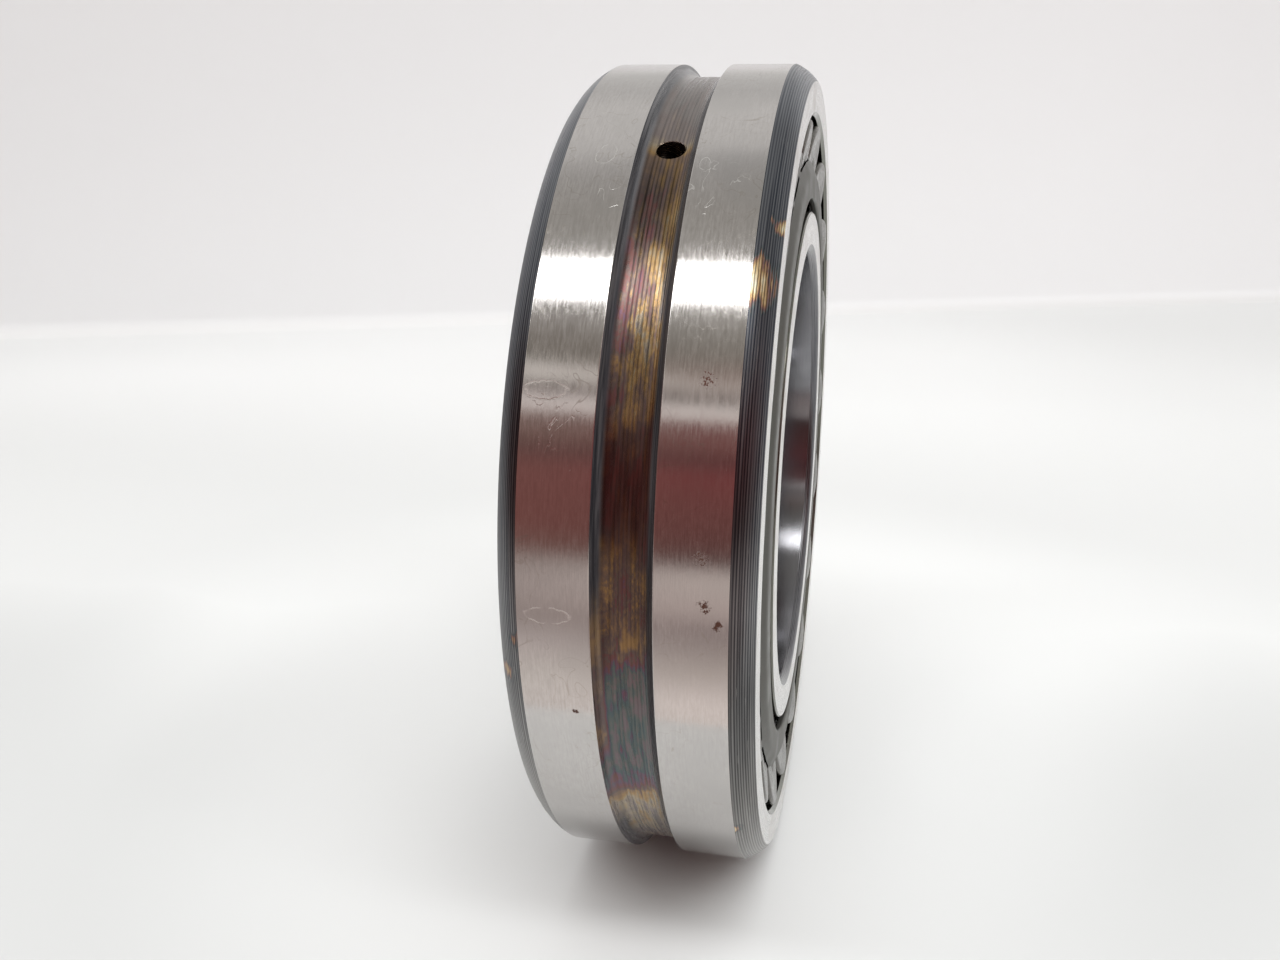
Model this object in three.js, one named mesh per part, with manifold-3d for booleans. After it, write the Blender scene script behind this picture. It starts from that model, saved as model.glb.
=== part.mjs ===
// A spherical roller bearing, 100 mm bore, 180 mm outside diameter, 46 mm wide.
// Millimetres. The bearing's centre is the origin, its axis is +Y and +Z is up, so it stands on its rim.
// Angles around the axis are counted from +X towards +Z.

import * as THREE from 'three';
import { mergeVertices } from 'three/addons/utils/BufferGeometryUtils.js';
import Module from 'manifold-3d';

const wasm = await Module();
wasm.setup();

const degrees = Math.PI / 180;

// Boundary dimensions
const outsideRadius = 90;
const boreRadius = 50;
const width = 46;
const halfWidth = width / 2;

// Rollers: two rows of barrels, each row tilted by the contact angle
const rollersPerRow = 19;
const pitch = 360 * degrees / rollersPerRow;
const pitchRadius = 70.5;
const contactAngle = 10 * degrees;
const rollerRadius = 10.5;
const rollerLength = 18;
const rollerCrownRadius = 80.5;
const rollerCornerAxial = 0.9;
const rollerCornerRadial = 1.1;
const rollerCentreDistance = pitchRadius / Math.cos(contactAngle);
const rollerOffset = pitchRadius * Math.tan(contactAngle);

// Running clearances
const racewayClearance = 0.3;
const windowClearance = 0.35;

// Outer ring
const racewayRadius = rollerCentreDistance + rollerRadius + racewayClearance;
const landEnd = 18.6;
const faceOuterRadius = 86.4;
const faceInnerRadius = 80.2;
const innerEdgeChamfer = 0.8;
const grooveHalfWidth = 5.55;
const grooveFloorHalfWidth = 4.1;
const grooveFloorRadius = 87.4;
const oilHoleCount = 3;
const oilHoleRadius = 2.75;
const firstOilHoleAngle = 57.7 * degrees;

// Inner ring
const shoulderRadius = 58.75;
const shoulderChamfer = 0.3;
const boreChamfer = 1.7;
const innerCentreLand = 1.8;
const innerRacewayEnd = 20;

// Guide ring, a loose wedge between the two rows
const guideBoreRadius = 62.3;
const guideOutsideRadius = 72.4;
const guideSideClearance = 0.35;

// Cages, pressed from sheet: a flange beside the rollers and a tapered wall with one window for each roller
const sheet = 1.6;
const flangeInnerRadius = 61.7;
const flangeFace = 22.95;
const flangeFlatRadius = 67;
const bendRadius = 70.8;
const bendFace = 22.2;
const wallRadius = 73.8;
const wallOutboard = 20.3;
const rimEdge = 2.2;

// Facets around each turned piece
const ringSegments = 60;
const cageSegments = 3 * rollersPerRow;
const rollerSegments = 16;
const windowSegments = 12;
const holeSegments = 12;
const racewaySteps = 6;
const innerRacewaySteps = 3;

const groundSteel = { color: 0xa8a6a2, roughness: 0.3, metalness: 1 };
const finishes = {
  outer_ring: groundSteel,
  inner_ring: { color: 0xb2b0ac, roughness: 0.25, metalness: 1 },
  guide_ring: { color: 0x77756f, roughness: 0.5, metalness: 1 },
  cage: { color: 0x55584f, roughness: 0.65, metalness: 0.8 },
  roller: { color: 0xbcbab6, roughness: 0.2, metalness: 1 },
};

// The radius of a facet's corners, for a round seat whose size is measured across its flats.
function acrossFlats(radius, segments) {
  return radius / Math.cos(Math.PI / segments);
}

// A ring or a roller turned from points [radius, axial] that run once around its section.
function turned(section, segments) {
  const facet = 2 * Math.PI / segments;
  const points = section.map(([radius, axial]) => new THREE.Vector2(radius, axial));
  return new THREE.LatheGeometry(points, segments, facet / 2);
}

function closed(section) {
  return [...section, section[0]];
}

// The other half of a section that is the same on both sides of the middle plane.
function mirrored(half) {
  return half.map(([radius, axial]) => [radius, -axial]).reverse();
}

// Points on a circle in the section plane, between two angles counted from the radial direction.
function arc(centre, radius, from, to, steps) {
  const points = [];
  for (let i = 0; i <= steps; i += 1) {
    const angle = from + (to - from) * i / steps;
    points.push([centre[0] + radius * Math.cos(angle), centre[1] + radius * Math.sin(angle)]);
  }
  return points;
}

function toSolid(geometry) {
  const bare = geometry.clone();
  bare.deleteAttribute('normal');
  bare.deleteAttribute('uv');
  const merged = mergeVertices(bare, 1e-4);
  const mesh = new wasm.Mesh({
    numProp: 3,
    vertProperties: new Float32Array(merged.attributes.position.array),
    triVerts: new Uint32Array(merged.index.array),
  });
  return new wasm.Manifold(mesh);
}

function toGeometry(solid) {
  const mesh = solid.getMesh();
  const geometry = new THREE.BufferGeometry();
  geometry.setAttribute('position', new THREE.BufferAttribute(new Float32Array(mesh.vertProperties), 3));
  geometry.setIndex(new THREE.BufferAttribute(new Uint32Array(mesh.triVerts), 1));
  geometry.computeVertexNormals();
  return geometry;
}

function named(name, geometry, finish) {
  const mesh = new THREE.Mesh(geometry, new THREE.MeshStandardMaterial(finish));
  mesh.name = name;
  return mesh;
}

// The spherical raceway is centred on the bearing, so the inner assembly can swing inside it.
function outerRingSection() {
  const outside = acrossFlats(outsideRadius, ringSegments);
  const racewayEnd = Math.acos((faceInnerRadius - innerEdgeChamfer) / racewayRadius);
  const outerHalf = [
    [grooveFloorRadius, grooveFloorHalfWidth],
    [outside, grooveHalfWidth],
    [outside, landEnd],
    [faceOuterRadius, halfWidth],
    [faceInnerRadius, halfWidth],
  ];
  const raceway = arc([0, 0], racewayRadius, racewayEnd, -racewayEnd, racewaySteps);
  return closed([...outerHalf, ...raceway, ...mirrored(outerHalf)]);
}

// A radial drill that reaches from outside the ring to inside its raceway.
function oilDrill(angle) {
  const inside = racewayRadius - 5;
  const outside = outsideRadius + 5;
  const drill = new THREE.CylinderGeometry(oilHoleRadius, oilHoleRadius, outside - inside, holeSegments);
  drill.rotateZ(-Math.PI / 2);
  drill.translate((outside + inside) / 2, 0, 0);
  drill.rotateY(-angle);
  return toSolid(drill);
}

function outerRing() {
  let ring = toSolid(turned(outerRingSection(), ringSegments));
  for (let i = 0; i < oilHoleCount; i += 1) {
    ring = ring.subtract(oilDrill(firstOilHoleAngle + i * 2 * Math.PI / oilHoleCount));
  }
  return named('outer_ring', toGeometry(ring), finishes.outer_ring);
}

// The inner raceway follows the rollers' crown, and ends in a plain shoulder with no flange.
function innerRacewayRadius(axial) {
  const crownCentre = rollerCentreDistance + rollerCrownRadius - rollerRadius;
  const centreRadius = crownCentre * Math.cos(contactAngle);
  const centreAxial = crownCentre * Math.sin(contactAngle);
  const crown = rollerCrownRadius + racewayClearance;
  return centreRadius - Math.sqrt(crown ** 2 - (axial - centreAxial) ** 2);
}

function innerRing() {
  const raceway = [];
  for (let i = 0; i <= innerRacewaySteps; i += 1) {
    const axial = innerCentreLand + (innerRacewayEnd - innerCentreLand) * i / innerRacewaySteps;
    raceway.push([innerRacewayRadius(axial), axial]);
  }
  const half = [
    ...raceway,
    [shoulderRadius, halfWidth - shoulderChamfer],
    [shoulderRadius - shoulderChamfer, halfWidth],
    [boreRadius + boreChamfer, halfWidth],
    [acrossFlats(boreRadius, ringSegments), halfWidth - boreChamfer],
  ];
  const section = closed([...half, ...mirrored(half)]);
  return named('inner_ring', turned(section, ringSegments), finishes.inner_ring);
}

// How far the rollers' inboard ends stand from the middle plane at a given radius.
function inboardEnd(radius) {
  const endRadius = pitchRadius + rollerLength / 2 * Math.sin(contactAngle);
  const endAxial = rollerOffset - rollerLength / 2 * Math.cos(contactAngle);
  return endAxial + (radius - endRadius) * Math.tan(contactAngle);
}

function guideRing() {
  const half = [
    [guideOutsideRadius, inboardEnd(guideOutsideRadius) - guideSideClearance],
    [guideBoreRadius, inboardEnd(guideBoreRadius) - guideSideClearance],
  ];
  const section = closed([...half, ...mirrored(half)]);
  return named('guide_ring', turned(section, ringSegments), finishes.guide_ring);
}

function barrelRadius(axial) {
  const drop = rollerCrownRadius - Math.sqrt(rollerCrownRadius ** 2 - axial ** 2);
  return rollerRadius - drop;
}

function rollerBarrel() {
  const shoulder = rollerLength / 2 - rollerCornerAxial;
  const half = [
    [0, rollerLength / 2],
    [barrelRadius(shoulder) - rollerCornerRadial, rollerLength / 2],
    [barrelRadius(shoulder), shoulder],
  ];
  return turned([...half, [rollerRadius, 0], ...mirrored(half)].reverse(), rollerSegments);
}

// The room that a roller needs in its cage. Its flats lie outside the roller's true round.
function windowCutter() {
  const end = rollerLength / 2 + windowClearance;
  const half = [
    [0, end],
    [acrossFlats(barrelRadius(end) + windowClearance, windowSegments), end],
  ];
  const middle = [acrossFlats(rollerRadius + windowClearance, windowSegments), 0];
  return turned([...half, middle, ...mirrored(half)].reverse(), windowSegments);
}

// Turns a barrel made on the Y axis to its place in a row: side is +1 for the +Y row, -1 for the other.
function placedRoller(side, angle) {
  const around = new THREE.Matrix4().makeRotationY(-angle);
  const out = new THREE.Matrix4().makeTranslation(pitchRadius, side * rollerOffset, 0);
  const tilt = new THREE.Matrix4().makeRotationZ(side * contactAngle);
  return around.multiply(out).multiply(tilt);
}

// The two rows are staggered by half a pitch.
function rollerAngle(side, index) {
  return (index + (side > 0 ? 0.5 : 0)) * pitch;
}

// Sheet section on the +Y side: the outside skin from the flange's lip to the inboard rim, and back inside.
function cageSection() {
  const slope = Math.tan(contactAngle);
  const wallAt = (axial) => wallRadius - (axial - rollerOffset) * slope;
  return closed([
    [flangeInnerRadius, flangeFace],
    [flangeInnerRadius, flangeFace - sheet],
    [flangeFlatRadius, flangeFace - sheet],
    [wallAt(wallOutboard) - sheet, wallOutboard - sheet / 2],
    [wallAt(rimEdge) - sheet, rimEdge],
    [wallAt(rimEdge), rimEdge],
    [wallAt(wallOutboard), wallOutboard],
    [bendRadius, bendFace],
    [flangeFlatRadius, flangeFace],
  ]);
}

function cage(name, side) {
  const section = cageSection().map(([radius, axial]) => [radius, side * axial]);
  const outward = side > 0 ? section : section.reverse();
  let solid = toSolid(turned(outward, cageSegments));
  const cutter = windowCutter();
  for (let i = 0; i < rollersPerRow; i += 1) {
    const placed = cutter.clone().applyMatrix4(placedRoller(side, rollerAngle(side, i)));
    solid = solid.subtract(toSolid(placed));
  }
  return named(name, toGeometry(solid), finishes.cage);
}

function rollerRow(prefix, side) {
  const row = new THREE.Group();
  const barrel = rollerBarrel();
  for (let i = 0; i < rollersPerRow; i += 1) {
    const number = String(i + 1).padStart(2, '0');
    const roller = named(`${prefix}_${number}`, barrel, finishes.roller);
    roller.applyMatrix4(placedRoller(side, rollerAngle(side, i)));
    row.add(roller);
  }
  return row;
}

const bearing = new THREE.Group();
bearing.add(outerRing());
bearing.add(innerRing());
bearing.add(guideRing());
bearing.add(cage('cage_right', 1));
bearing.add(cage('cage_left', -1));
bearing.add(rollerRow('roller_right', 1));
bearing.add(rollerRow('roller_left', -1));

export default bearing;
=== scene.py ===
import math

import bmesh
import bpy
from mathutils import Matrix, Vector


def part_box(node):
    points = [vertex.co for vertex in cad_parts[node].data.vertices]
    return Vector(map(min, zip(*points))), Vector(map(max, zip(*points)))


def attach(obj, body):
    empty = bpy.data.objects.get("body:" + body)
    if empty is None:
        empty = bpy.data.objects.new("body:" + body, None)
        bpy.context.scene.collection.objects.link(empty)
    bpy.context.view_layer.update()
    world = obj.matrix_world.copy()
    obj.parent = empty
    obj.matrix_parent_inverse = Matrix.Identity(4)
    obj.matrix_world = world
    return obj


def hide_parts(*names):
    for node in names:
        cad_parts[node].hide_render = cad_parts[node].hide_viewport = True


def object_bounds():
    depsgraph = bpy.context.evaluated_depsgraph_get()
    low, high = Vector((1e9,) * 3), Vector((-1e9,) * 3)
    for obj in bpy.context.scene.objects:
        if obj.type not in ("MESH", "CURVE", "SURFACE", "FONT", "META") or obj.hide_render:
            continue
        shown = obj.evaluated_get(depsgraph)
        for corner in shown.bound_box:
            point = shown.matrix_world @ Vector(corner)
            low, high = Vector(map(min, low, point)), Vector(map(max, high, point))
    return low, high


# The looks of a spherical roller bearing that stands on its rim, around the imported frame.
# Sections and sizes are in millimetres and become metres when a mesh is made.
# The bearing's axis is +Y. Angles around it are counted from +X towards +Z.

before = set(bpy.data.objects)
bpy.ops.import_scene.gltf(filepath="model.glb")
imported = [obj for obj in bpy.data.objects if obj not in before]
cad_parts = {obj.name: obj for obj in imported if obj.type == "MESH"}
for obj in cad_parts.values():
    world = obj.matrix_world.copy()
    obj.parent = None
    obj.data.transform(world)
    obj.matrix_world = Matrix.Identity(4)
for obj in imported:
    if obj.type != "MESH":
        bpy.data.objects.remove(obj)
cad_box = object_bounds()

MM = 0.001
DEG = math.pi / 180


def reach(node, axis):
    """How far a CAD node reaches from the origin along one axis, in millimetres."""
    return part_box(node)[1][axis] / MM


OUTSIDE = reach("outer_ring", 0)
HALF_WIDTH = reach("outer_ring", 1)

# Rollers
ROWS = {"right": 1, "left": -1}
PER_ROW = len([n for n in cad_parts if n.startswith("roller_right_")])
PITCH = 2 * math.pi / PER_ROW
PITCH_RADIUS = 70.5
CONTACT = 10 * DEG
ROLLER_RADIUS = 10.5
ROLLER_LENGTH = 18
CROWN_RADIUS = 80.5
ROLLER_DISTANCE = PITCH_RADIUS / math.cos(CONTACT)
ROLLER_OFFSET = PITCH_RADIUS * math.tan(CONTACT)
RUNNING_GAP = 0.12
WINDOW_GAP = 0.3

# Outer ring
RACEWAY = ROLLER_DISTANCE + ROLLER_RADIUS + RUNNING_GAP
LAND_END = 18.6
FACE_OUTER = 86.4
FACE_INNER = 80.2
RACEWAY_EDGE = 79.4
GROOVE_HALF = 5.55
GROOVE_FLOOR_HALF = 4.1
GROOVE_FLOOR = 87.4
OIL_HOLE_RADIUS = 2.75
OIL_HOLE_ANGLES = [(57.7 + 120 * i) * DEG for i in range(3)]

# Inner ring and guide ring
BORE = 50
BORE_CHAMFER = 1.7
SHOULDER = 58.75
INNER_LAND = 1.8
INNER_RACEWAY_END = 20
GUIDE_BORE = 62.3
GUIDE_OUTSIDE = 72.4

# Cages
SHEET = 1.6
LIP_RADIUS = 61.7
FLANGE_FACE = 22.9
WALL_RADIUS = 73.8
RIM_EDGE = 2.3


# ---------------------------------------------------------------- turned shapes

def arc_between(start, end, bulge_angle, steps):
    """Points after start up to end on an arc that bulges to the right of the way from start to end."""
    start, end = Vector(start), Vector(end)
    chord = end - start
    radius = chord.length / (2 * math.sin(bulge_angle))
    left = Vector((-chord.y, chord.x)).normalized()
    centre = (start + end) / 2 + left * radius * math.cos(bulge_angle)
    first = start - centre
    points = []
    for i in range(1, steps + 1):
        turn = 2 * bulge_angle * i / steps
        spun = Vector((first.x * math.cos(turn) - first.y * math.sin(turn),
                       first.x * math.sin(turn) + first.y * math.cos(turn)))
        points.append((centre.x + spun.x, centre.y + spun.y))
    return points


def rounded(corners, steps=4, guard=0.12):
    """A closed section from (radius, axial, corner radius) points, each corner rounded with an arc.
    Guard points beside each arc keep the long straight sides shading flat."""
    points = []
    count = len(corners)
    for i, (radius, axial, rounding) in enumerate(corners):
        here = Vector((radius, axial))
        if rounding == 0:
            points.append((radius, axial))
            continue
        before = Vector(corners[i - 1][:2]) - here
        after = Vector(corners[(i + 1) % count][:2]) - here
        half = before.angle(after) / 2
        cut = rounding / math.tan(half)
        middle = here + (before.normalized() + after.normalized()).normalized() * rounding / math.sin(half)
        first = here + before.normalized() * cut - middle
        last = here + after.normalized() * cut - middle
        if before.length > 4 * cut + guard:
            lead = here + before.normalized() * (cut + guard)
            points.append((lead.x, lead.y))
        for k in range(steps + 1):
            share = k / steps
            spoke = first.lerp(last, share)
            spoke = middle + spoke.normalized() * rounding
            points.append((spoke.x, spoke.y))
        if after.length > 4 * cut + guard:
            trail = here + after.normalized() * (cut + guard)
            points.append((trail.x, trail.y))
    return points


def flipped(half):
    """The same corners on the other side of the middle plane, in reverse order."""
    return [(radius, -axial, rounding) for radius, axial, rounding in reversed(half)]


def plain(points):
    """Corners with no rounding, for the inside of a curve."""
    return [(radius, axial, 0) for radius, axial in points]


def new_object(name, mesh):
    piece = bpy.data.objects.new(name, mesh)
    bpy.context.scene.collection.objects.link(piece)
    return piece


def lathe_mesh(name, section, steps, closed=True):
    """Turns a section of (radius, axial) points around Y. An open section starts and ends on the axis."""
    bm = bmesh.new()
    columns = []
    for radius, axial in section:
        if radius < 1e-6:
            columns.append([bm.verts.new((0, axial * MM, 0))] * steps)
            continue
        ring = []
        for j in range(steps):
            angle = 2 * math.pi * j / steps
            x, z = radius * MM * math.cos(angle), radius * MM * math.sin(angle)
            ring.append(bm.verts.new((x, axial * MM, z)))
        columns.append(ring)
    pairs = list(zip(columns, columns[1:]))
    if closed:
        pairs.append((columns[-1], columns[0]))
    for low, high in pairs:
        for j in range(steps):
            k = (j + 1) % steps
            corners = list(dict.fromkeys([low[j], low[k], high[k], high[j]]))
            bm.faces.new(corners)
    bmesh.ops.recalc_face_normals(bm, faces=bm.faces)
    mesh = bpy.data.meshes.new(name)
    bm.to_mesh(mesh)
    bm.free()
    mesh.shade_smooth()
    return mesh


def cut_away(piece, cutter):
    """Cuts one mesh out of another and throws the cutter away."""
    modifier = piece.modifiers.new("cut", "BOOLEAN")
    modifier.operation = "DIFFERENCE"
    modifier.solver = "EXACT"
    modifier.object = cutter
    bpy.context.view_layer.update()
    evaluated = piece.evaluated_get(bpy.context.evaluated_depsgraph_get())
    result = bpy.data.meshes.new_from_object(evaluated)
    piece.modifiers.clear()
    piece.data = result
    bpy.data.objects.remove(cutter)


def sharpen(mesh, angle=32 * DEG):
    mesh.shade_smooth()
    mesh.set_sharp_from_angle(angle=angle)


def dress(piece, materials, choose):
    """Gives each face the material that choose(radius, axial) names, from its centre in millimetres."""
    piece.data.materials.clear()
    names = list(materials)
    for name in names:
        piece.data.materials.append(materials[name])
    for face in piece.data.polygons:
        centre = face.center
        radius = math.hypot(centre.x, centre.z) / MM
        face.material_index = names.index(choose(radius, centre.y / MM))


def hand_over(piece, node):
    """The piece stands for a CAD node and moves with the node's body."""
    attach(piece, node)
    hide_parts(node)


# ---------------------------------------------------------------- node trees

class Tree:
    """Short calls for the shader nodes used here."""

    def __init__(self, tree):
        self.tree = tree

    def node(self, kind, **settings):
        made = self.tree.nodes.new(kind)
        for key, value in settings.items():
            setattr(made, key, value)
        return made

    def feed(self, socket, value):
        if isinstance(value, bpy.types.NodeSocket):
            self.tree.links.new(value, socket)
        else:
            socket.default_value = value

    def math(self, operation, a, b=0.0, c=0.0):
        made = self.node("ShaderNodeMath", operation=operation)
        for socket, value in zip(made.inputs, (a, b, c)):
            self.feed(socket, value)
        return made.outputs[0]

    def between(self, value, low, high, out_low=0.0, out_high=1.0, smooth=True):
        """Maps low..high to out_low..out_high, held at both ends."""
        made = self.node("ShaderNodeMapRange", interpolation_type="SMOOTHSTEP" if smooth else "LINEAR")
        ends = {"From Min": low, "From Max": high, "To Min": out_low, "To Max": out_high}
        for key, number in ends.items():
            self.feed(made.inputs[key], number)
        self.feed(made.inputs["Value"], value)
        return made.outputs["Result"]

    def vector(self, x, y, z):
        made = self.node("ShaderNodeCombineXYZ")
        for socket, value in zip(made.inputs, (x, y, z)):
            self.feed(socket, value)
        return made.outputs[0]

    def noise(self, vector, scale=1.0, detail=2.0, roughness=0.5, distortion=0.0):
        made = self.node("ShaderNodeTexNoise")
        self.feed(made.inputs["Vector"], vector)
        for key, number in (("Scale", scale), ("Detail", detail), ("Roughness", roughness),
                            ("Distortion", distortion)):
            made.inputs[key].default_value = number
        return made.outputs["Fac"]

    def mix(self, factor, a, b, blend="MIX"):
        made = self.node("ShaderNodeMix", data_type="RGBA", blend_type=blend)
        colours = [s for s in made.inputs if s.type == "RGBA"]
        self.feed(made.inputs["Factor"], factor)
        for socket, value in zip(colours, (a, b)):
            self.feed(socket, (*value, 1) if isinstance(value, tuple) else value)
        return [s for s in made.outputs if s.type == "RGBA"][0]

    def ramp(self, value, stops):
        """A colour ramp from (position, (r, g, b)) stops."""
        made = self.node("ShaderNodeValToRGB")
        elements = made.color_ramp.elements
        while len(elements) < len(stops):
            elements.new(0.5)
        for element, (position, colour) in zip(elements, stops):
            element.position = position
            element.color = (*colour, 1)
        self.feed(made.inputs["Fac"], value)
        return made.outputs["Color"]


class Finish(Tree):
    """A material with one Principled shader, and the patterns that the finishes share."""

    def __init__(self, name, metallic=1.0, anisotropy=0.0):
        self.material = bpy.data.materials.new(name)
        self.material.use_nodes = True
        super().__init__(self.material.node_tree)
        self.shader = self.tree.nodes["Principled BSDF"]
        self.shader.inputs["Metallic"].default_value = metallic
        self.shader.inputs["Anisotropic"].default_value = anisotropy
        self.place()

    def place(self):
        """Where a point lies on the turned piece: radius and axial in millimetres, and its angle."""
        coordinates = self.node("ShaderNodeTexCoord").outputs["Object"]
        split = self.node("ShaderNodeSeparateXYZ")
        self.feed(split.inputs[0], coordinates)
        x, y, z = (self.math("MULTIPLY", split.outputs[i], 1 / MM) for i in range(3))
        squares = self.math("ADD", self.math("MULTIPLY", x, x), self.math("MULTIPLY", z, z))
        self.point = self.vector(x, y, z)
        self.axial = y
        self.radius = self.math("SQRT", squares)
        self.round_x = self.math("DIVIDE", x, self.radius)
        self.round_z = self.math("DIVIDE", z, self.radius)
        self.angle = self.math("ARCTAN2", z, x)
        self.profile = self.math("ADD", y, self.math("MULTIPLY", self.radius, 1.6))

    def run_down_chamfers(self):
        """Lays the machining marks out along the outer chamfers, which fall away towards both faces."""
        self.profile = self.math("SUBTRACT", self.math("ABSOLUTE", self.axial), self.radius)

    def lines(self, width, length, detail=2.0, roughness=0.6):
        """Machining marks: noise with features about width mm wide and length mm long round the axis."""
        turns = 90 / length
        return self.noise(self.vector(self.math("MULTIPLY", self.round_x, turns),
                                      self.math("DIVIDE", self.profile, width),
                                      self.math("MULTIPLY", self.round_z, turns)), 1.0, detail, roughness)

    def feed_marks(self, pitch, wobble=0.5):
        """Evenly spaced turned grooves, 0 to 1, that drift a little along the way."""
        drift = self.math("MULTIPLY", self.lines(3.0, 40.0), wobble)
        phase = self.math("ADD", self.math("DIVIDE", self.profile, pitch), drift)
        wave = self.math("SINE", self.math("MULTIPLY", phase, 2 * math.pi))
        return self.math("MULTIPLY_ADD", wave, 0.5, 0.5)

    def patches(self, size, detail=3.0, roughness=0.55, distortion=0.0):
        """Soft blotches of about size mm."""
        return self.noise(self.point, 1 / size, detail, roughness, distortion)

    def near(self, degrees, axial, size, soft=0.5, ragged=0.0):
        """1 within about size mm of a point on the rim, given by its angle and axial place, and 0 beyond.
        A ragged spot has an uneven edge, drawn out along the machining marks."""
        sideways = self.math("SUBTRACT", self.axial, axial)
        turn = self.math("SUBTRACT", self.angle, degrees * DEG)
        around = self.math("MULTIPLY", turn, OUTSIDE)
        away = self.math("SQRT", self.math("ADD", self.math("MULTIPLY", sideways, sideways),
                                           self.math("MULTIPLY", around, around)))
        if ragged > 0:
            swing = 1.6 * ragged * size
            away = self.total((self.lines(1.3, 4.5, 3), swing), (away, 1.0), (-swing / 2, 1.0))
        return self.between(away, size * (1 - soft), size, 1.0, 0.0)

    def loop(self, degrees, axial, length, width, slant=0):
        """A thin closed outline on the rim, length mm round it and width mm across, slanted in degrees."""
        sideways = self.math("SUBTRACT", self.axial, axial)
        around = self.math("MULTIPLY", self.math("SUBTRACT", self.angle, degrees * DEG), OUTSIDE)
        cosine, sine = math.cos(slant * DEG), math.sin(slant * DEG)
        along = self.total((around, 2 * cosine / length), (sideways, 2 * sine / length))
        across = self.total((around, -2 * sine / width), (sideways, 2 * cosine / width))
        reach = self.math("SQRT", self.math("ADD", self.math("MULTIPLY", along, along),
                                            self.math("MULTIPLY", across, across)))
        reach = self.total((reach, 1.0), (self.patches(1.5, 2), 0.5), (-0.25, 1.0))
        return self.between(self.math("ABSOLUTE", self.math("SUBTRACT", reach, 1.0)), 0.0, 0.11, 1.0, 0.0)

    def strongest(self, *values):
        """The greatest of several masks."""
        result = values[0]
        for value in values[1:]:
            result = self.math("MAXIMUM", result, value)
        return result

    def by_angle(self, stops):
        """A level from 0 to 1 that depends on the angle round the axis. stops are (degrees, level)."""
        turned = self.between(self.angle, -math.pi, math.pi, smooth=False)
        return self.ramp(turned, [((degrees + 180) / 360, (level,) * 3) for degrees, level in stops])

    def total(self, *parts):
        """Adds (value, weight) pairs."""
        result = 0.0
        for value, weight in parts:
            result = self.math("MULTIPLY_ADD", value, weight, result)
        return result

    def bump(self, height, depth):
        """Relief of depth millimetres where height goes from 0 to 1."""
        made = self.node("ShaderNodeBump")
        made.inputs["Strength"].default_value = 1.0
        made.inputs["Distance"].default_value = depth * MM
        self.feed(made.inputs["Height"], height)
        self.feed(self.shader.inputs["Normal"], made.outputs[0])

    def colour(self, value):
        self.feed(self.shader.inputs["Base Color"], (*value, 1) if isinstance(value, tuple) else value)

    def roughness(self, value):
        self.feed(self.shader.inputs["Roughness"], value)

    def grain_round_axis(self):
        """Points the anisotropy across the turned lines."""
        made = self.node("ShaderNodeTangent", direction_type="RADIAL", axis="Y")
        self.shader.inputs["Anisotropic Rotation"].default_value = 0.25
        self.feed(self.shader.inputs["Tangent"], made.outputs[0])


# ---------------------------------------------------------------- finishes

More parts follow.
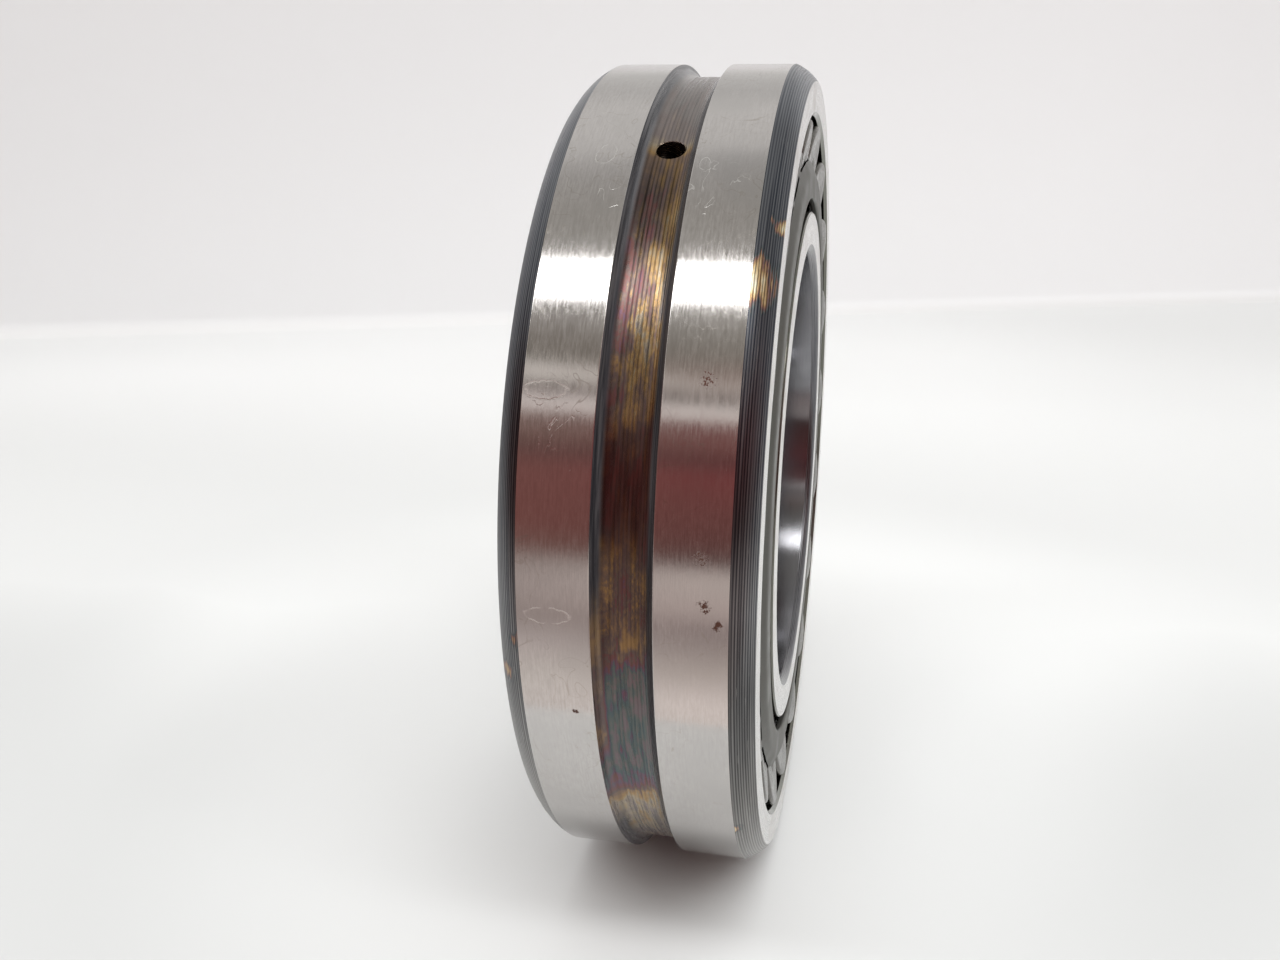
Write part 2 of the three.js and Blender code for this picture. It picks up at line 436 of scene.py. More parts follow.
def land_steel():
    """Ground outside of the outer ring: fine lines, dried stains, small nicks, a few rust specks, and
    painted shade towards the bottom.
    """
    f = Finish("ground_land", anisotropy=0.5)
    f.grain_round_axis()
    fine = f.lines(0.28, 5)
    grain = f.lines(0.5, 1.6, 3)
    ground = f.total((fine, 0.5), (grain, 0.5))
    steel = f.mix(f.between(ground, 0.3, 0.7), (0.575, 0.55, 0.535), (0.67, 0.645, 0.63))
    steel = f.mix(f.between(f.patches(16, 3), 0.4, 0.7), steel, (0.585, 0.565, 0.55))

    # Painted shade: the lands are darkened towards the bottom, standing in for the shadow on the floor that
    # the steel reflects there.
    painted_reflected_shade = f.by_angle([
        (-150, 0.1), (-100, 0.5), (-68, 0.62), (-60, 0.58), (-52, 0.50), (-44, 0.72), (-36, 0.40),
        (-28, 0.29), (-20, 0.17), (-12, 0.03), (-6, 0.0), (90, 0.0), (140, 0.1),
    ])
    steel = f.mix(painted_reflected_shade, steel, (0.14, 0.132, 0.124))

    outline = f.math("ABSOLUTE", f.math("SUBTRACT", f.patches(8, 2, 0.5, 1.0), 0.5))
    stained = f.between(f.patches(20, 1), 0.45, 0.55)
    stain = f.math("MULTIPLY", f.between(outline, 0.0, 0.010, 1.0, 0.0), stained)
    steel = f.mix(f.math("MULTIPLY", stain, 0.4), steel, (0.40, 0.365, 0.315))

    contour = f.math("ABSOLUTE", f.math("SUBTRACT", f.patches(5.5, 2, 0.5, 1.5), 0.5))
    handled = f.strongest(
        f.near(49, 10, 9), f.near(47, -9, 5), f.near(21, -14, 8), f.near(150, 11, 12), f.near(-100, -12, 12),
    )
    scuff = f.math("MULTIPLY", f.between(contour, 0.0, 0.016, 1.0, 0.0),
                   f.math("MULTIPLY", handled, f.between(f.patches(3.5, 1), 0.50, 0.58)))
    ovals = f.strongest(
        f.loop(54.5, -11, 5.5, 3.6, 12), f.loop(53, 7.6, 3.4, 1.8), f.loop(23.5, -14.5, 3.2, 7.5),
        f.loop(-1.5, -13, 3.0, 8.0), f.loop(140, 12, 5.0, 3.4, -20), f.loop(-140, -12, 6.0, 3.0, 30),
    )
    nick = f.strongest(scuff, f.math("MULTIPLY", ovals, f.between(f.patches(2.0, 1), 0.36, 0.6)))
    steel = f.mix(f.math("MULTIPLY", nick, 0.6), steel, (0.90, 0.89, 0.87))

    spots = f.strongest(
        f.near(25.5, 13, 3.2, 1.0), f.near(6.5, 13.6, 2.6, 1.0), f.near(1.2, 14.5, 2.4, 1.0),
        f.near(-1, 16.6, 2.2, 1.0), f.near(-14, -9, 1.6, 1.0), f.near(160, -13, 3.0, 1.0),
    )
    rust = f.between(f.total((f.patches(0.8, 4, 0.75), 1.0), (spots, 0.30)), 0.72, 0.77)
    f.colour(f.mix(rust, steel, (0.085, 0.036, 0.024)))
    f.feed(f.shader.inputs["Metallic"], f.math("SUBTRACT", 1.0, rust))
    smooth = f.between(ground, 0.3, 0.7, 0.12, 0.19)
    f.roughness(f.total((smooth, 1.0), (rust, 0.5), (stain, 0.08), (nick, 0.15)))
    f.bump(f.total((grain, 0.6), (fine, 0.4), (nick, -0.7)), 0.012)
    return f.material


def chamfer_steel():
    """Dark turned chamfer with feed marks, blued by heat, with a few straw patches, and painted shade that
    changes with the angle round the axis.
    """
    f = Finish("turned_chamfer", anisotropy=0.3)
    f.run_down_chamfers()
    f.grain_round_axis()
    marks = f.feed_marks(0.74, 0.4)
    streak = f.lines(0.6, 40, 3, 0.6)
    tone = f.total((marks, 0.27), (streak, 0.76))
    # Painted shade: these levels darken each chamfer by angle round the axis, standing in for how light and
    # shade fall on it.
    left = f.by_angle([
        (-150, 0.40), (-110, 0.45), (-60, 0.46), (-50, 0.50), (-40, 0.73), (-30, 0.92), (-10, 0.70),
        (0, 0.82), (10, 0.50), (20, 0.40), (30, 0.46), (50, 0.70), (60, 0.86), (70, 1.0), (84, 1.0),
        (110, 0.5), (150, 0.40),
    ])
    right = f.by_angle([
        (-150, 0.40), (-110, 0.5), (-60, 1.0), (-50, 1.0), (-40, 0.90), (-28, 0.69), (-10, 0.58),
        (0, 0.90), (10, 0.62), (20, 0.80), (32, 0.48), (60, 0.56), (70, 0.95), (84, 1.0),
        (110, 0.5), (150, 0.40),
    ])
    level = f.mix(f.between(f.axial, -1, 1), left, right)
    hue = f.by_angle([(-160, 0.3), (-60, 0.0), (-30, 0.0), (30, 1.0), (100, 1.0), (160, 0.3)])
    low = f.mix(hue, (0.085, 0.080, 0.075), (0.065, 0.075, 0.10))
    high = f.mix(hue, (0.40, 0.39, 0.375), (0.36, 0.375, 0.40))
    steel = f.mix(f.between(tone, 0.32, 0.82), low, high)
    scratch = f.between(f.lines(0.22, 9, 2, 0.7), 0.70, 0.76)
    # Painted shade: each chamfer is mixed towards black by its level.
    steel = f.mix(level, (0, 0, 0), f.mix(scratch, steel, (0.75, 0.74, 0.72)))

    spots = f.strongest(
        f.near(37, 17.8, 11.0, 1.0, 0.4), f.near(45, 23.2, 4.6, 1.0, 0.5), f.near(-35, 18.0, 4.2, 1.0, 0.5),
        f.near(140, -20, 14, 1.0, 0.7), f.near(-120, 20, 15, 1.0, 0.7),
    )
    faint = f.strongest(f.near(-5, -18.6, 4.4, 1.0, 0.9), f.near(-10, -21.5, 4.2, 1.0, 0.8))
    heat = f.total((f.lines(1.0, 6, 3), 0.33), (streak, 0.30), (spots, 0.50), (faint, 0.37))
    straw = f.ramp(f.between(heat, 0.52, 0.82, smooth=False), [
        (0.0, (0.07, 0.085, 0.10)),
        (0.22, (0.13, 0.16, 0.16)),
        (0.42, (0.28, 0.16, 0.15)),
        (0.62, (0.52, 0.35, 0.18)),
        (0.82, (0.74, 0.60, 0.36)),
        (1.0, (0.84, 0.78, 0.62)),
    ])
    ridges = f.between(marks, 0.1, 0.6)
    straw = f.mix(f.total((ridges, 0.70), (0.30, 1.0)), (0, 0, 0), straw)
    f.colour(f.mix(f.between(heat, 0.49, 0.60), steel, straw))
    f.roughness(f.between(streak, 0.3, 0.7, 0.26, 0.40))
    f.bump(f.total((marks, 0.5), (streak, 0.5)), 0.013)
    return f.material


TEMPER_COLOURS = [
    (0.00, (0.27, 0.25, 0.24)),
    (0.10, (0.24, 0.20, 0.19)),
    (0.20, (0.36, 0.30, 0.22)),
    (0.30, (0.36, 0.23, 0.10)),
    (0.38, (0.22, 0.15, 0.105)),
    (0.46, (0.14, 0.108, 0.102)),
    (0.55, (0.175, 0.085, 0.078)),
    (0.64, (0.145, 0.09, 0.125)),
    (0.74, (0.088, 0.118, 0.122)),
    (0.84, (0.12, 0.128, 0.12)),
    (0.92, (0.165, 0.125, 0.135)),
    (1.00, (0.13, 0.135, 0.13)),
]


def groove_steel():
    """Turned oil groove. An oxide film of changing thickness gives it straw, brown, purple and teal."""
    f = Finish("groove_steel", anisotropy=0.3)
    f.grain_round_axis()
    marks = f.between(f.feed_marks(0.74, 0.3), 0.08, 0.6)
    streak = f.lines(0.8, 16, 3, 0.6)
    cloud = f.lines(3.2, 7, 3, 0.55)
    speck = f.lines(0.35, 1.0, 2, 0.6)
    film = f.by_angle([
        (-120, 0.03), (-75, 0.10), (-46, 0.13), (-37, 0.20), (-31, 0.30), (-28, 0.62), (-24, 0.84),
        (-14, 0.88), (-9, 0.78), (-5, 0.60), (-1, 0.44), (4, 0.43), (12, 0.48), (20, 0.47), (27, 0.36),
        (36, 0.32), (42, 0.38), (48, 0.42), (56.5, 0.42), (58.5, 0.12), (70, 0.05), (90, 0.03),
    ])
    lively = f.by_angle([
        (-60, 0.1), (-40, 0.4), (-27, 0.8), (-14, 0.7), (-4, 0.5), (14, 0.30), (28, 0.7), (38, 0.9),
        (46, 0.45), (56, 0.3), (64, 0.2), (90, 0.1),
    ])
    spread = f.total((streak, 1.0), (cloud, 1.2), (1.1, -1.0))
    speckled = f.by_angle([
        (-14, 0.0), (-8, 1.0), (0, 0.8), (8, 0.1), (24, 0.3), (32, 0.8), (42, 0.2), (60, 0.0),
    ])
    lopsided = f.by_angle([(10, 0.0), (28, 0.5), (40, 1.0), (48, 0.4), (56, 0.1), (64, 0.0)])
    across = f.math("MULTIPLY", lopsided, f.axial)
    strip = f.by_angle([(-24, 0.0), (-19, 1.0), (-10, 0.8), (-2, 1.0), (1, 0.0)])
    strip = f.math("MULTIPLY", strip, f.between(f.axial, -3.6, -4.3))
    strip = f.math("MULTIPLY", strip, f.between(cloud, 0.34, 0.5, 0.7, 1.0))
    thin = f.strongest(
        strip, f.near(-5.0, 0.8, 8.0, 1.0, 1.0), f.near(120, 1.0, 14, 1.0, 1.2),
        f.near(-150, -1.0, 16, 1.0, 1.2),
    )
    film = f.total((f.math("MULTIPLY", spread, lively), 1.0), (film, 1.0), (across, -0.045),
                   (f.math("MULTIPLY", f.math("SUBTRACT", speck, 0.5), speckled), -0.55))
    film = f.math("MULTIPLY_ADD", f.math("SUBTRACT", 0.32, film), thin, film)
    tint = f.ramp(film, TEMPER_COLOURS)

    cutting = f.by_angle([
        (-60, 0.35), (-40, 0.4), (-20, 0.2), (0, 0.35), (16, 0.25), (28, 0.6), (36, 0.85), (50, 0.8),
        (60, 0.40), (80, 0.35),
    ])
    shade = f.math("MULTIPLY", f.math("SUBTRACT", 1.0, marks), cutting)
    shade = f.total((shade, -0.62), (f.between(streak, 0.3, 0.7), 0.35), (0.82, 1.0))
    tint = f.mix(1.0, tint, f.vector(shade, shade, shade), "MULTIPLY")

    wall = f.between(f.math("ABSOLUTE", f.axial), 3.7, 4.5)
    gilt = f.by_angle([(-40, 0.0), (-34, 1.0), (-4, 1.0), (2, 0.0)])
    gilt = f.math("MULTIPLY", gilt, f.between(f.axial, 0, -1))
    blued = f.mix(f.between(f.lines(0.5, 14), 0.3, 0.7), (0.035, 0.037, 0.044), (0.125, 0.124, 0.132))
    bare = f.math("MULTIPLY", wall, f.math("SUBTRACT", 1.0, gilt))
    f.colour(f.mix(bare, tint, blued))
    f.feed(f.shader.inputs["Metallic"], f.total((wall, -0.6), (1.0, 1.0)))
    f.roughness(f.between(streak, 0.3, 0.7, 0.22, 0.36))
    f.bump(f.total((marks, 0.5), (streak, 0.3), (speck, 0.2)), 0.02)
    return f.material


def ground_face():
    """Bright ground side face: circular lines, faint stains and a few long scratches."""
    f = Finish("ground_face", anisotropy=0.3)
    f.grain_round_axis()
    fine = f.lines(0.25, 8)
    broad = f.lines(1.6, 60, 3)
    ground = f.total((fine, 0.5), (broad, 0.5))
    steel = f.mix(f.between(ground, 0.3, 0.7), (0.62, 0.61, 0.60), (0.80, 0.79, 0.78))
    stain = f.between(f.patches(9, 4, 0.6), 0.48, 0.72)
    steel = f.mix(f.math("MULTIPLY", stain, 0.35), steel, (0.48, 0.45, 0.40))
    scratch = f.between(f.lines(0.35, 18, 2, 0.7), 0.68, 0.74)
    f.colour(f.mix(scratch, steel, (0.90, 0.89, 0.88)))
    smooth = f.between(fine, 0.3, 0.7, 0.24, 0.34)
    f.roughness(f.total((smooth, 1.0), (stain, 0.08)))
    f.bump(f.total((fine, 0.6), (scratch, 0.4)), 0.004)
    return f.material


def raceway_steel():
    """Honed raceway, painted dark as shade, since it lies deep inside the bearing."""
    f = Finish("honed_raceway")
    fine = f.lines(0.3, 10)
    # Painted shade: the dark base colour stands in for the shade inside the bearing.
    f.colour(f.mix(fine, (0.13, 0.13, 0.11), (0.20, 0.20, 0.175)))
    f.roughness(f.between(f.patches(10), 0.3, 0.7, 0.16, 0.28))
    f.bump(fine, 0.001)
    return f.material


def bore_steel():
    """Ground bore, with a dark base colour."""
    f = Finish("ground_bore", anisotropy=0.4)
    f.grain_round_axis()
    fine = f.lines(0.25, 12)
    f.colour(f.mix(fine, (0.22, 0.22, 0.235), (0.31, 0.31, 0.325)))
    f.roughness(f.between(f.patches(12), 0.3, 0.7, 0.14, 0.24))
    f.bump(fine, 0.001)
    return f.material


def inner_chamfer_steel():
    """Turned edge of the bore, left dark by the heat treatment."""
    f = Finish("turned_bore_edge", anisotropy=0.3)
    f.grain_round_axis()
    tone = f.total((f.feed_marks(0.7), 0.3), (f.lines(0.4, 16, 3), 0.7))
    f.colour(f.mix(f.between(tone, 0.25, 0.75), (0.10, 0.10, 0.11), (0.22, 0.22, 0.23)))
    f.roughness(f.between(tone, 0.3, 0.7, 0.26, 0.38))
    f.bump(tone, 0.01)
    return f.material


def guide_iron():
    """Turned sides and rim of the loose guide ring."""
    f = Finish("turned_guide_ring")
    tone = f.total((f.feed_marks(0.5), 0.4), (f.lines(0.4, 10), 0.6))
    f.colour(f.mix(tone, (0.20, 0.195, 0.185), (0.34, 0.335, 0.32)))
    f.roughness(f.between(tone, 0.3, 0.7, 0.38, 0.52))
    f.bump(tone, 0.01)
    return f.material


def cage_phosphate():
    """Pressed sheet steel with a matt grey-green phosphate skin."""
    f = Finish("phosphate_sheet", metallic=0.7)
    grain = f.noise(f.point, 6, 3, 0.7)
    cloud = f.patches(9, 4)
    tone = f.mix(f.between(grain, 0.3, 0.7), (0.070, 0.070, 0.060), (0.102, 0.101, 0.088))
    f.colour(f.mix(f.between(cloud, 0.4, 0.75), tone, (0.118, 0.115, 0.103)))
    f.roughness(f.between(cloud, 0.3, 0.7, 0.38, 0.52))
    f.bump(grain, 0.008)
    return f.material


def roller_steel():
    """Superfinished rollers with a dark base colour and a fine cross grain."""
    f = Finish("superfinished_roller")
    tone = f.patches(4, 3)
    grain = f.patches(0.5, 3, 0.65)
    steel = f.mix(tone, (0.14, 0.135, 0.125), (0.23, 0.225, 0.215))
    f.colour(f.mix(f.between(grain, 0.55, 0.75), steel, (0.30, 0.295, 0.28)))
    f.roughness(f.between(tone, 0.3, 0.7, 0.20, 0.34))
    f.bump(grain, 0.002)
    return f.material


# ---------------------------------------------------------------- rings

def outer_ring_section():
    half = [
        (GROOVE_FLOOR, GROOVE_FLOOR_HALF, 3.0),
        (OUTSIDE, GROOVE_HALF, 0.2),
        (OUTSIDE, LAND_END, 0.25),
    ]
    chamfer = arc_between((OUTSIDE, LAND_END), (FACE_OUTER, HALF_WIDTH), 16 * DEG, 12)
    half += plain(chamfer[:-1])
    half += [
        (FACE_OUTER, HALF_WIDTH, 0.15),
        (FACE_INNER, HALF_WIDTH, 0.12),
        (RACEWAY_EDGE, HALF_WIDTH - 0.8, 0.12),
    ]
    end = math.acos(RACEWAY_EDGE / RACEWAY)
    steps = 40
    raceway = []
    for i in range(1, steps):
        angle = end - 2 * end * i / steps
        raceway.append((RACEWAY * math.cos(angle), RACEWAY * math.sin(angle)))
    return rounded(half + plain(raceway) + flipped(half))


def oil_drill(angle):
    """A radial drill with a small countersink at the groove's floor."""
    section = [
        (0, RACEWAY - 6),
        (OIL_HOLE_RADIUS, RACEWAY - 6),
        (OIL_HOLE_RADIUS, GROOVE_FLOOR - 0.15),
        (OIL_HOLE_RADIUS + 0.25, GROOVE_FLOOR + 0.08),
        (OIL_HOLE_RADIUS + 0.25, OUTSIDE + 3),
        (0, OUTSIDE + 3),
    ]
    drill = new_object("drill", lathe_mesh("drill", section, 64, closed=False))
    upright = Matrix.Rotation(math.pi / 2, 4, "X")
    drill.data.transform(Matrix.Rotation(math.pi / 2 - angle, 4, "Y") @ upright)
    return drill


def outer_region(radius, axial):
    if radius < FACE_INNER + 0.1 and abs(axial) < HALF_WIDTH - 0.05:
        return "raceway"
    if abs(axial) > HALF_WIDTH - 0.03:
        return "face"
    if abs(axial) > LAND_END + 0.02:
        return "chamfer"
    if radius > OUTSIDE - 0.05:
        return "land"
    return "groove"


def make_outer_ring():
    ring = new_object("outer_ring_turned", lathe_mesh("outer_ring_turned", outer_ring_section(), 360))
    for angle in OIL_HOLE_ANGLES:
        cut_away(ring, oil_drill(angle))
    sharpen(ring.data)
    finishes = {
        "land": land_steel(),
        "chamfer": chamfer_steel(),
        "groove": groove_steel(),
        "face": ground_face(),
        "raceway": raceway_steel(),
    }
    dress(ring, finishes, outer_region)
    hand_over(ring, "outer_ring")


def inner_raceway_radius(axial):
    crown_centre = ROLLER_DISTANCE + CROWN_RADIUS - ROLLER_RADIUS
    crown = CROWN_RADIUS + RUNNING_GAP
    away = axial - crown_centre * math.sin(CONTACT)
    return crown_centre * math.cos(CONTACT) - math.sqrt(crown ** 2 - away ** 2)


def inner_ring_section():
    steps = 24
    raceway = []
    for i in range(steps + 1):
        axial = INNER_LAND + (INNER_RACEWAY_END - INNER_LAND) * i / steps
        raceway.append((inner_raceway_radius(axial), axial))
    chamfer = arc_between((BORE + BORE_CHAMFER, HALF_WIDTH), (BORE, HALF_WIDTH - BORE_CHAMFER),
                          38 * DEG, 10)
    half = plain(raceway) + [
        (SHOULDER, HALF_WIDTH - 0.35, 0.1),
        (SHOULDER - 0.35, HALF_WIDTH, 0.1),
        (BORE + BORE_CHAMFER, HALF_WIDTH, 0.1),
    ]
    half += plain(chamfer)
    return rounded(half + flipped(half))


def inner_region(radius, axial):
    if abs(axial) > HALF_WIDTH - 0.03:
        return "face"
    if radius < BORE + 0.02:
        return "bore"
    if radius < BORE + BORE_CHAMFER + 0.5:
        return "chamfer"
    return "raceway"


def make_inner_ring():
    ring = new_object("inner_ring_turned", lathe_mesh("inner_ring_turned", inner_ring_section(), 300))
    sharpen(ring.data)
    finishes = {
        "face": ground_face(),
        "bore": bore_steel(),
        "chamfer": inner_chamfer_steel(),
        "raceway": raceway_steel(),
    }
    dress(ring, finishes, inner_region)
    hand_over(ring, "inner_ring")


def guide_half_width(radius):
    end_radius = PITCH_RADIUS + ROLLER_LENGTH / 2 * math.sin(CONTACT)
    end_axial = ROLLER_OFFSET - ROLLER_LENGTH / 2 * math.cos(CONTACT)
    return end_axial + (radius - end_radius) * math.tan(CONTACT) - 0.3


def make_guide_ring():
    half = [
        (GUIDE_OUTSIDE, guide_half_width(GUIDE_OUTSIDE), 0.4),
        (GUIDE_BORE, guide_half_width(GUIDE_BORE), 0.25),
    ]
    section = rounded(half + flipped(half))
    ring = new_object("guide_ring_turned", lathe_mesh("guide_ring_turned", section, 240))
    sharpen(ring.data)
    dress(ring, {"iron": guide_iron()}, lambda radius, axial: "iron")
    hand_over(ring, "guide_ring")


# ---------------------------------------------------------------- rollers and cages

def crown_drop(axial):
    return CROWN_RADIUS - math.sqrt(CROWN_RADIUS ** 2 - axial ** 2)


def barrel_section(grow=0.0):
    """A barrel's outline from end to end, with rounded corners and a shallow turned dimple in each end."""
    end = ROLLER_LENGTH / 2 + grow
    corner = 0.95
    steps = 16
    crown = []
    for i in range(steps + 1):
        axial = -(end - corner) + 2 * (end - corner) * i / steps
        crown.append((ROLLER_RADIUS + grow - crown_drop(axial), axial))
    edge = crown[-1][0] - corner
    top = [(crown[-1][0] - corner + corner * math.sin(a), end - corner + corner * math.cos(a))
           for a in (70 * DEG, 50 * DEG, 30 * DEG, 12 * DEG)]
    top += [(edge, end), (edge - 0.15, end)]
    if grow == 0:
        top += [(3.4, end), (3.2, end - 0.06), (2.6, end - 0.35), (2.3, end - 0.42)]
    top += [(0, top[-1][1])]
    bottom = [(radius, -axial) for radius, axial in reversed(top)]
    return bottom + crown + top


def barrel_matrix(side, index):
    """Puts a barrel made on the Y axis in its place in a row."""
    angle = (index + (0.5 if side > 0 else 0)) * PITCH
    out = Matrix.Translation((PITCH_RADIUS * MM, side * ROLLER_OFFSET * MM, 0))
    tilt = Matrix.Rotation(side * CONTACT, 4, "Z")
    return Matrix.Rotation(-angle, 4, "Y") @ out @ tilt


def make_rollers():
    steel = roller_steel()
    master = lathe_mesh("roller_barrel", barrel_section(), 56, closed=False)
    sharpen(master, 50 * DEG)
    master.materials.append(steel)
    for row, side in ROWS.items():
        for i in range(PER_ROW):
            node = f"roller_{row}_{i + 1:02d}"
            barrel = new_object(node + "_barrel", master.copy())
            barrel.data.transform(barrel_matrix(side, i))
            hand_over(barrel, node)


def cage_section():
    """Sheet section on the +Y side: flange with a turned lip, the bend, and the tapered wall to its rim."""
    slope = math.tan(CONTACT)

    def wall(axial):
        return WALL_RADIUS - (axial - ROLLER_OFFSET) * slope

    return rounded([
        (LIP_RADIUS, FLANGE_FACE, 0.5),
        (LIP_RADIUS, FLANGE_FACE - SHEET, 0.35),
        (66.6, FLANGE_FACE - SHEET, 1.2),
        (wall(20) - SHEET, 20.2, 1.4),
        (wall(RIM_EDGE) - SHEET, RIM_EDGE, 0.3),
        (wall(RIM_EDGE), RIM_EDGE, 0.3),
        (wall(20.6), 20.6, 2.0),
        (67.2, FLANGE_FACE, 4.0),
    ], steps=6)


def window_cutter(side):
    """The room of a whole row of rollers, as one mesh."""
    combined = bmesh.new()
    section = barrel_section(WINDOW_GAP)
    for i in range(PER_ROW):
        barrel = lathe_mesh("window", section, 48, closed=False)
        barrel.transform(barrel_matrix(side, i))
        combined.from_mesh(barrel)
        bpy.data.meshes.remove(barrel)
    mesh = bpy.data.meshes.new("windows")
    combined.to_mesh(mesh)
    combined.free()
    return new_object("windows", mesh)


def make_cage(row, side, finish):
    section = [(radius, side * axial) for radius, axial in cage_section()]
    name = f"cage_{row}_pressing"
    mesh = lathe_mesh(name, section, 16 * PER_ROW)
    piece = new_object(name, mesh)
    cut_away(piece, window_cutter(side))
    sharpen(piece.data, 35 * DEG)
    dress(piece, {"sheet": finish}, lambda radius, axial: "sheet")
    hand_over(piece, f"cage_{row}")


def make_cages():
    finish = cage_phosphate()
    for row, side in ROWS.items():
        make_cage(row, side, finish)


# ---------------------------------------------------------------- floor, light and camera

def pale_finish(name):
    """Matt white, with painted shade and light. The table is painted greyer in front of the bearing and
    paler far behind it, and the wall is painted a little darker towards its top and its left end."""
    f = Finish(name, metallic=0.0)
    split = f.node("ShaderNodeSeparateXYZ")
    f.feed(split.inputs[0], f.point)
    x, y, height = split.outputs[0], split.outputs[1], split.outputs[2]
    away = f.math("SQRT", f.math("ADD", f.math("MULTIPLY", x, x), f.math("MULTIPLY", y, y)))
    reach = f.math("ADD", away, f.between(y, -60, 40, -24, 0))
    side = f.total((x, 1.0), (f.between(y, 80, 170), 75.0), (f.between(y, -160, -230), 50.0))
    # Painted shade: the table is darkened in front of the bearing and far out from it, standing in for the
    # shade that falls there.
    painted_table_shade = f.math("MULTIPLY", f.between(reach, 35, 130), f.between(side, -110, 40))
    painted_table_shade = f.math("MAXIMUM", painted_table_shade, f.between(away, 150, 270, 0.0, 0.5))
    table = f.mix(painted_table_shade, (0.80, 0.81, 0.81), (0.62, 0.628, 0.628))
    # Painted light: the table is paled far behind the bearing, where more light falls.
    lit = f.math("MULTIPLY", f.between(x, -200, -440), f.between(away, 560, 800, 1.0, 0.3))
    lit = f.math("MULTIPLY", lit, f.between(y, 60, 260, 1.0, 0.5))
    table = f.mix(lit, table, (0.82, 0.83, 0.832))
    # Painted shade: the wall is darker towards its left end and towards its top.
    wall = f.mix(f.between(y, -620, 180, smooth=False), (0.775, 0.792, 0.80), (0.88, 0.90, 0.91))
    wall = f.mix(f.between(height, -40, 300, 0.0, 0.07), wall, (0, 0, 0))
    f.colour(f.mix(f.between(height, -89, -80), table, wall))
    f.roughness(0.7)
    f.shader.inputs["Specular IOR Level"].default_value = 0.2
    return f.material


def sheet(name, rows, material):
    """A smooth sheet through rows of points, all rows the same length."""
    mesh = bpy.data.meshes.new(name)
    points = [point for row in rows for point in row]
    width = len(rows[0])
    faces = []
    for i in range(len(rows) - 1):
        for j in range(width - 1):
            first = i * width + j
            faces.append((first, first + 1, first + width + 1, first + width))
    mesh.from_pydata(points, [], faces)
    mesh.shade_smooth()
    mesh.materials.append(material)
    piece = new_object(name, mesh)
    return piece


def make_floor():
    """A pale table that curves up into a pale wall. Its nearer part and the far ends of the wall show to the
    camera alone, so the steel reflects the studio's darker front there."""
    material = pale_finish("pale_table")
    bottom = cad_box[0].z
    near = 0.13
    bend = 0.012
    along = Vector((-0.364, 0.931, 0))
    away = Vector((-along.y, along.x, 0))
    middle = Vector((-0.665, -0.159, bottom))
    stations = [middle + along * far for far in (-2.0, -1.3, 1.9, 3.6)]
    profile = [(0, 0)]
    for i in range(1, 13):
        turn = i / 12 * math.pi / 2
        profile.append((bend * math.sin(turn), bend * (1 - math.cos(turn))))
    profile.append((bend, 0.45))

    def stretch(name, ends):
        rows = [[Vector((near, end.y, bottom)) for end in ends]]
        for out, up in profile:
            rows.append([end + away * out + Vector((0, 0, up)) for end in ends])
        return sheet(name, rows, material)

    stretch("backdrop", stations[1:3])
    table = [[Vector((x, stations[i].y, bottom)) for i in (0, -1)] for x in (1.6, near)]
    unseen = [sheet("near_table", table, material)]
    unseen.append(stretch("left_end", stations[:2]))
    unseen.append(stretch("right_end", stations[2:]))
    for piece in unseen:
        piece.visible_glossy = False
        piece.visible_diffuse = False
        piece.visible_shadow = False


def soft_light(name, direction, distance, size, power, colour=(1, 1, 1)):
    """A rectangular soft light that faces the bearing, at (azimuth, elevation) in degrees from +X."""
    azimuth, elevation = direction[0] * DEG, direction[1] * DEG
    towards = Vector((math.cos(elevation) * math.cos(azimuth),
                      math.cos(elevation) * math.sin(azimuth),
                      math.sin(elevation)))
    data = bpy.data.lights.new(name, "AREA")
    data.shape = "RECTANGLE"
    data.size, data.size_y = size
    data.energy = power
    data.color = colour
    light = bpy.data.objects.new(name, data)
    light.location = towards * distance
    light.rotation_euler = towards.to_track_quat("Z", "Y").to_euler()
    light.visible_camera = False
    bpy.context.scene.collection.objects.link(light)
    return light


def make_lights():
    soft_light("ceiling_box", (0, 62.3), 1.2, (2.2, 0.205), 8.5)
    fill = soft_light("room_fill", (35, 64), 3.0, (3.0, 3.0), 72, (0.97, 1.0, 1.0))
    fill.visible_glossy = False


def ramp_by_height(t, height, stops):
    """A colour ramp over elevation. stops are (elevation in degrees, brightness or colour)."""
    placed = []
    for degrees, value in stops:
        colour = value if isinstance(value, tuple) else (value, value * 0.985, value * 0.965)
        placed.append(((math.sin(degrees * DEG) + 1) / 2, colour))
    return t.ramp(height, placed)


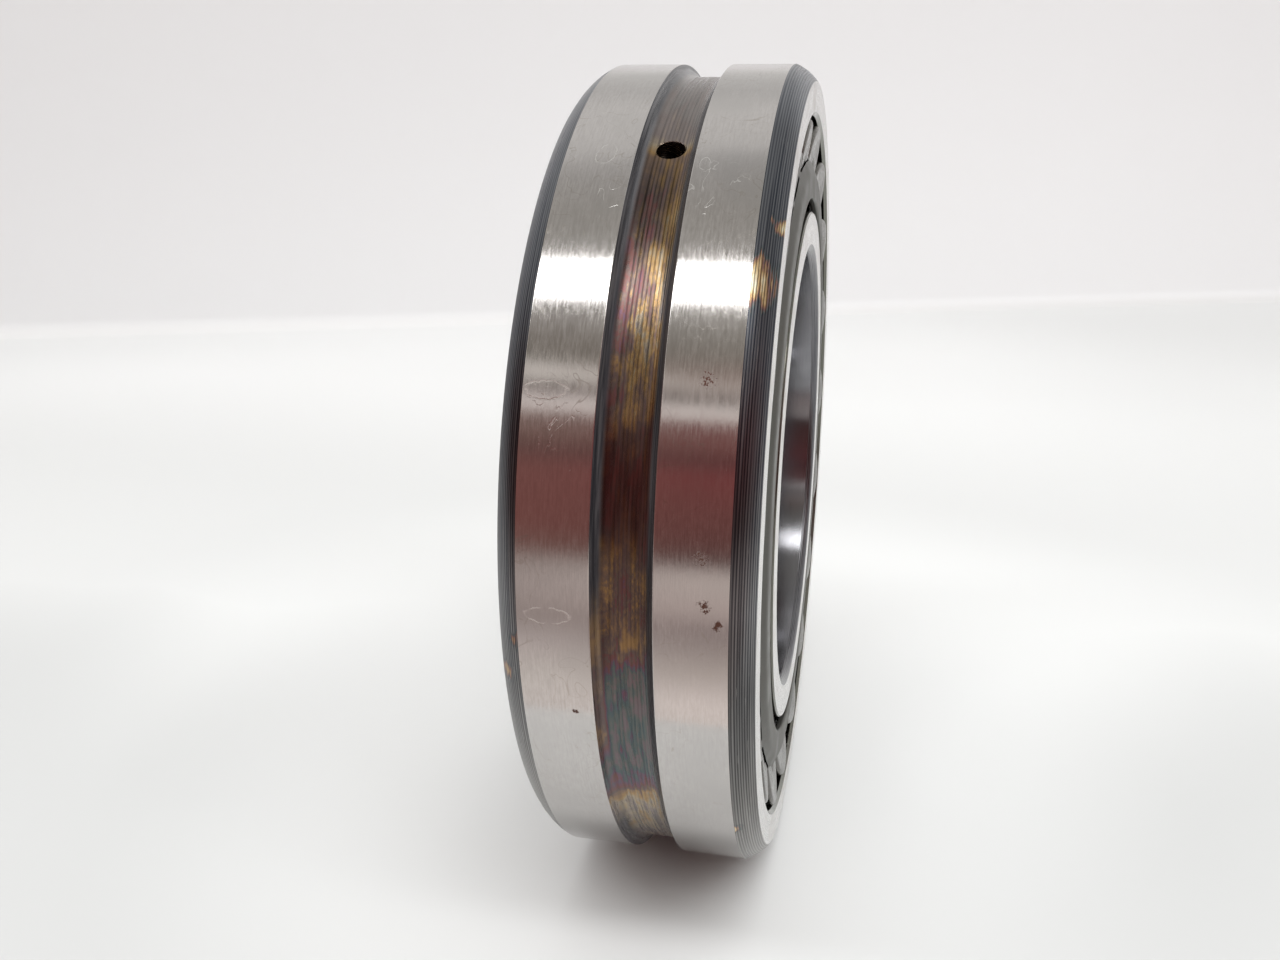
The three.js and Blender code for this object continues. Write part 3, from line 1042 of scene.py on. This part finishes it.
def make_world():
    """The room that the steel reflects, bright behind the bearing and darker with a red tint in front."""
    world = bpy.data.worlds.new("studio")
    bpy.context.scene.world = world
    world.use_nodes = True
    t = Tree(world.node_tree)
    t.tree.nodes.clear()
    split = t.node("ShaderNodeSeparateXYZ")
    t.feed(split.inputs[0], t.node("ShaderNodeTexCoord").outputs["Generated"])
    height = t.between(split.outputs[2], -1, 1, smooth=False)
    front_left = ramp_by_height(t, height, [
        (-60, (0.82, 0.76, 0.73)),
        (-44, (0.74, 0.69, 0.65)),
        (-34, (0.60, 0.53, 0.51)),
        (-27, (0.42, 0.35, 0.33)),
        (-18, (0.48, 0.41, 0.39)),
        (-13, (0.40, 0.34, 0.32)),
        (-8, (0.22, 0.11, 0.095)),
        (-2, (0.225, 0.09, 0.08)),
        (12, (0.235, 0.10, 0.09)),
        (16.5, (0.16, 0.085, 0.078)),
        (21, (0.23, 0.15, 0.13)),
        (25.4, (0.26, 0.18, 0.16)),
        (27.2, (0.96, 0.88, 0.85)),
        (29.6, (0.90, 0.82, 0.79)),
        (31.4, (0.28, 0.24, 0.23)),
        (33.4, (0.24, 0.21, 0.19)),
        (35, (0.92, 0.88, 0.83)),
        (37.4, (0.88, 0.84, 0.79)),
        (39.4, (0.24, 0.225, 0.20)),
        (44, (0.25, 0.225, 0.20)),
        (52, (0.34, 0.32, 0.30)),
        (74, (0.40, 0.385, 0.36)),
    ])
    front_right = ramp_by_height(t, height, [
        (-60, (0.97, 0.88, 0.83)),
        (-50, (0.94, 0.84, 0.80)),
        (-41, (0.62, 0.54, 0.50)),
        (-34, (0.43, 0.36, 0.34)),
        (-28, (0.35, 0.28, 0.27)),
        (-23, (0.60, 0.50, 0.47)),
        (-14, (0.68, 0.60, 0.56)),
        (-12, (0.50, 0.43, 0.41)),
        (-9.5, (0.12, 0.07, 0.065)),
        (-5, (0.15, 0.065, 0.06)),
        (2, (0.18, 0.07, 0.065)),
        (9, (0.22, 0.07, 0.068)),
        (12.5, (0.24, 0.065, 0.066)),
        (16.5, (0.13, 0.05, 0.05)),
        (20, (0.23, 0.09, 0.085)),
        (25.8, (0.24, 0.10, 0.095)),
        (27.6, (0.95, 0.88, 0.84)),
        (30, (0.86, 0.80, 0.76)),
        (31.6, (0.20, 0.17, 0.155)),
        (33.6, (0.36, 0.31, 0.29)),
        (35.8, (0.56, 0.48, 0.44)),
        (38.5, (0.32, 0.24, 0.21)),
        (44, (0.28, 0.255, 0.225)),
        (50, (0.33, 0.31, 0.28)),
        (74, (0.40, 0.385, 0.36)),
    ])
    front = t.mix(t.between(split.outputs[1], -0.27, -0.15), front_left, front_right)
    back = ramp_by_height(t, height, [
        (-60, 0.20),
        (0, 0.75),
        (18, 0.86),
        (26, 0.68),
        (40, 0.60),
        (52, 0.72),
        (68, 0.68),
        (74, 0.48),
        (82, 0.44),
    ])
    room = t.mix(t.between(split.outputs[0], -0.35, 0.15), back, front)
    straight = t.node("ShaderNodeLightPath").outputs["Is Camera Ray"]
    shown = t.node("ShaderNodeBackground")
    t.feed(shown.inputs["Color"], t.mix(straight, room, (0.84, 0.84, 0.835)))
    output = t.node("ShaderNodeOutputWorld")
    t.feed(output.inputs["Surface"], shown.outputs[0])


def make_camera():
    data = bpy.data.cameras.new("camera")
    data.sensor_width = 36
    data.lens = 33.29
    camera = bpy.data.objects.new("camera", data)
    camera.location = (0.2703, 0.0422, 0.0828)
    heading, pitch = 192.13 * DEG, -17.84 * DEG
    camera.rotation_euler = (math.pi / 2 + pitch, 0, heading - math.pi / 2)
    bpy.context.scene.collection.objects.link(camera)
    bpy.context.scene.camera = camera


make_camera()
make_world()
make_lights()
make_floor()
make_outer_ring()
make_inner_ring()
make_guide_ring()
make_cages()
make_rollers()
bpy.context.scene.view_settings.view_transform = "Standard"
